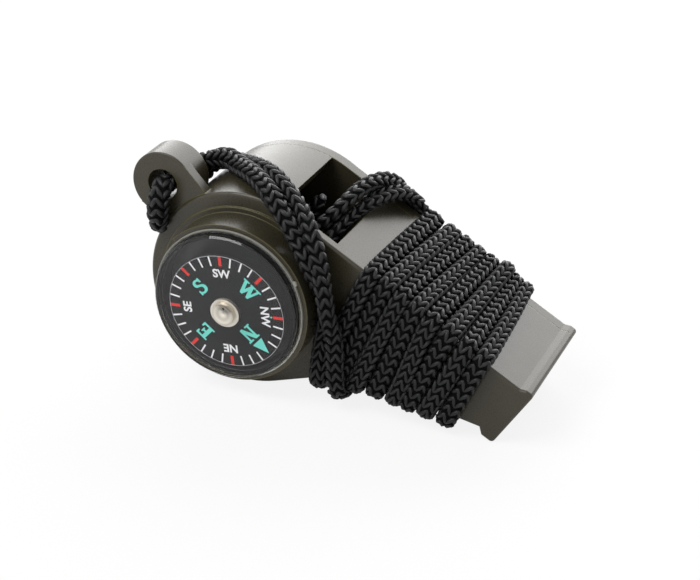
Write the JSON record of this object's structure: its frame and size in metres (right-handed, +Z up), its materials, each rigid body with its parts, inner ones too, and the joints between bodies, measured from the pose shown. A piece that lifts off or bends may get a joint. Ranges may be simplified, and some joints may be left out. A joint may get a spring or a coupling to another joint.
{
  "type": "survival whistle",
  "caption": "Olive plastic barrel whistle with a button compass in a collar on its side and a knitted cord lanyard wound round the mouthpiece.",
  "frame": {"origin": "middle of the underside of the whistle without its cord, on the surface it rests on", "axes": "+Z up; +X along the whistle from the ear to the mouthpiece tip; +Y along the barrel from the compass to the plain side"},
  "size_m": [0.0566, 0.0281, 0.0302],
  "materials": {
    "olive_plastic": "glossy moulded plastic",
    "clear_lid": "clear moulded plastic",
    "black_plastic": "black moulded plastic",
    "card_face": "printed card, dark grey",
    "bearing_metal": "turned metal",
    "magnet": "bare magnet",
    "pea_plastic": "matt ball",
    "lanyard_cord": "knitted cord"
  },
  "bodies": {
    "whistle": {"whistle_body": "olive_plastic", "side_cover": "olive_plastic", "compass_lid": "clear_lid", "compass_base": "black_plastic", "pivot_pin": "bearing_metal", "pea": "pea_plastic", "lanyard_wrap": "lanyard_cord", "lanyard_ear_loop": "lanyard_cord", "lanyard_cross_a": "lanyard_cord", "lanyard_cross_b": "lanyard_cord", "lanyard_tuck_a": "lanyard_cord", "lanyard_tuck_b": "lanyard_cord"},
    "card": {"compass_card": "card_face", "bearing_cup": "bearing_metal", "card_magnet": "magnet"}
  },
  "joints": [
    {"name": "card_spin", "type": "hinge", "parent": "whistle", "child": "card", "pos_m": [-0.01184, -0.01093, 0.01262], "axis": [-0.0134, 0.9967, 0.0806], "continuous": true}
  ]
}
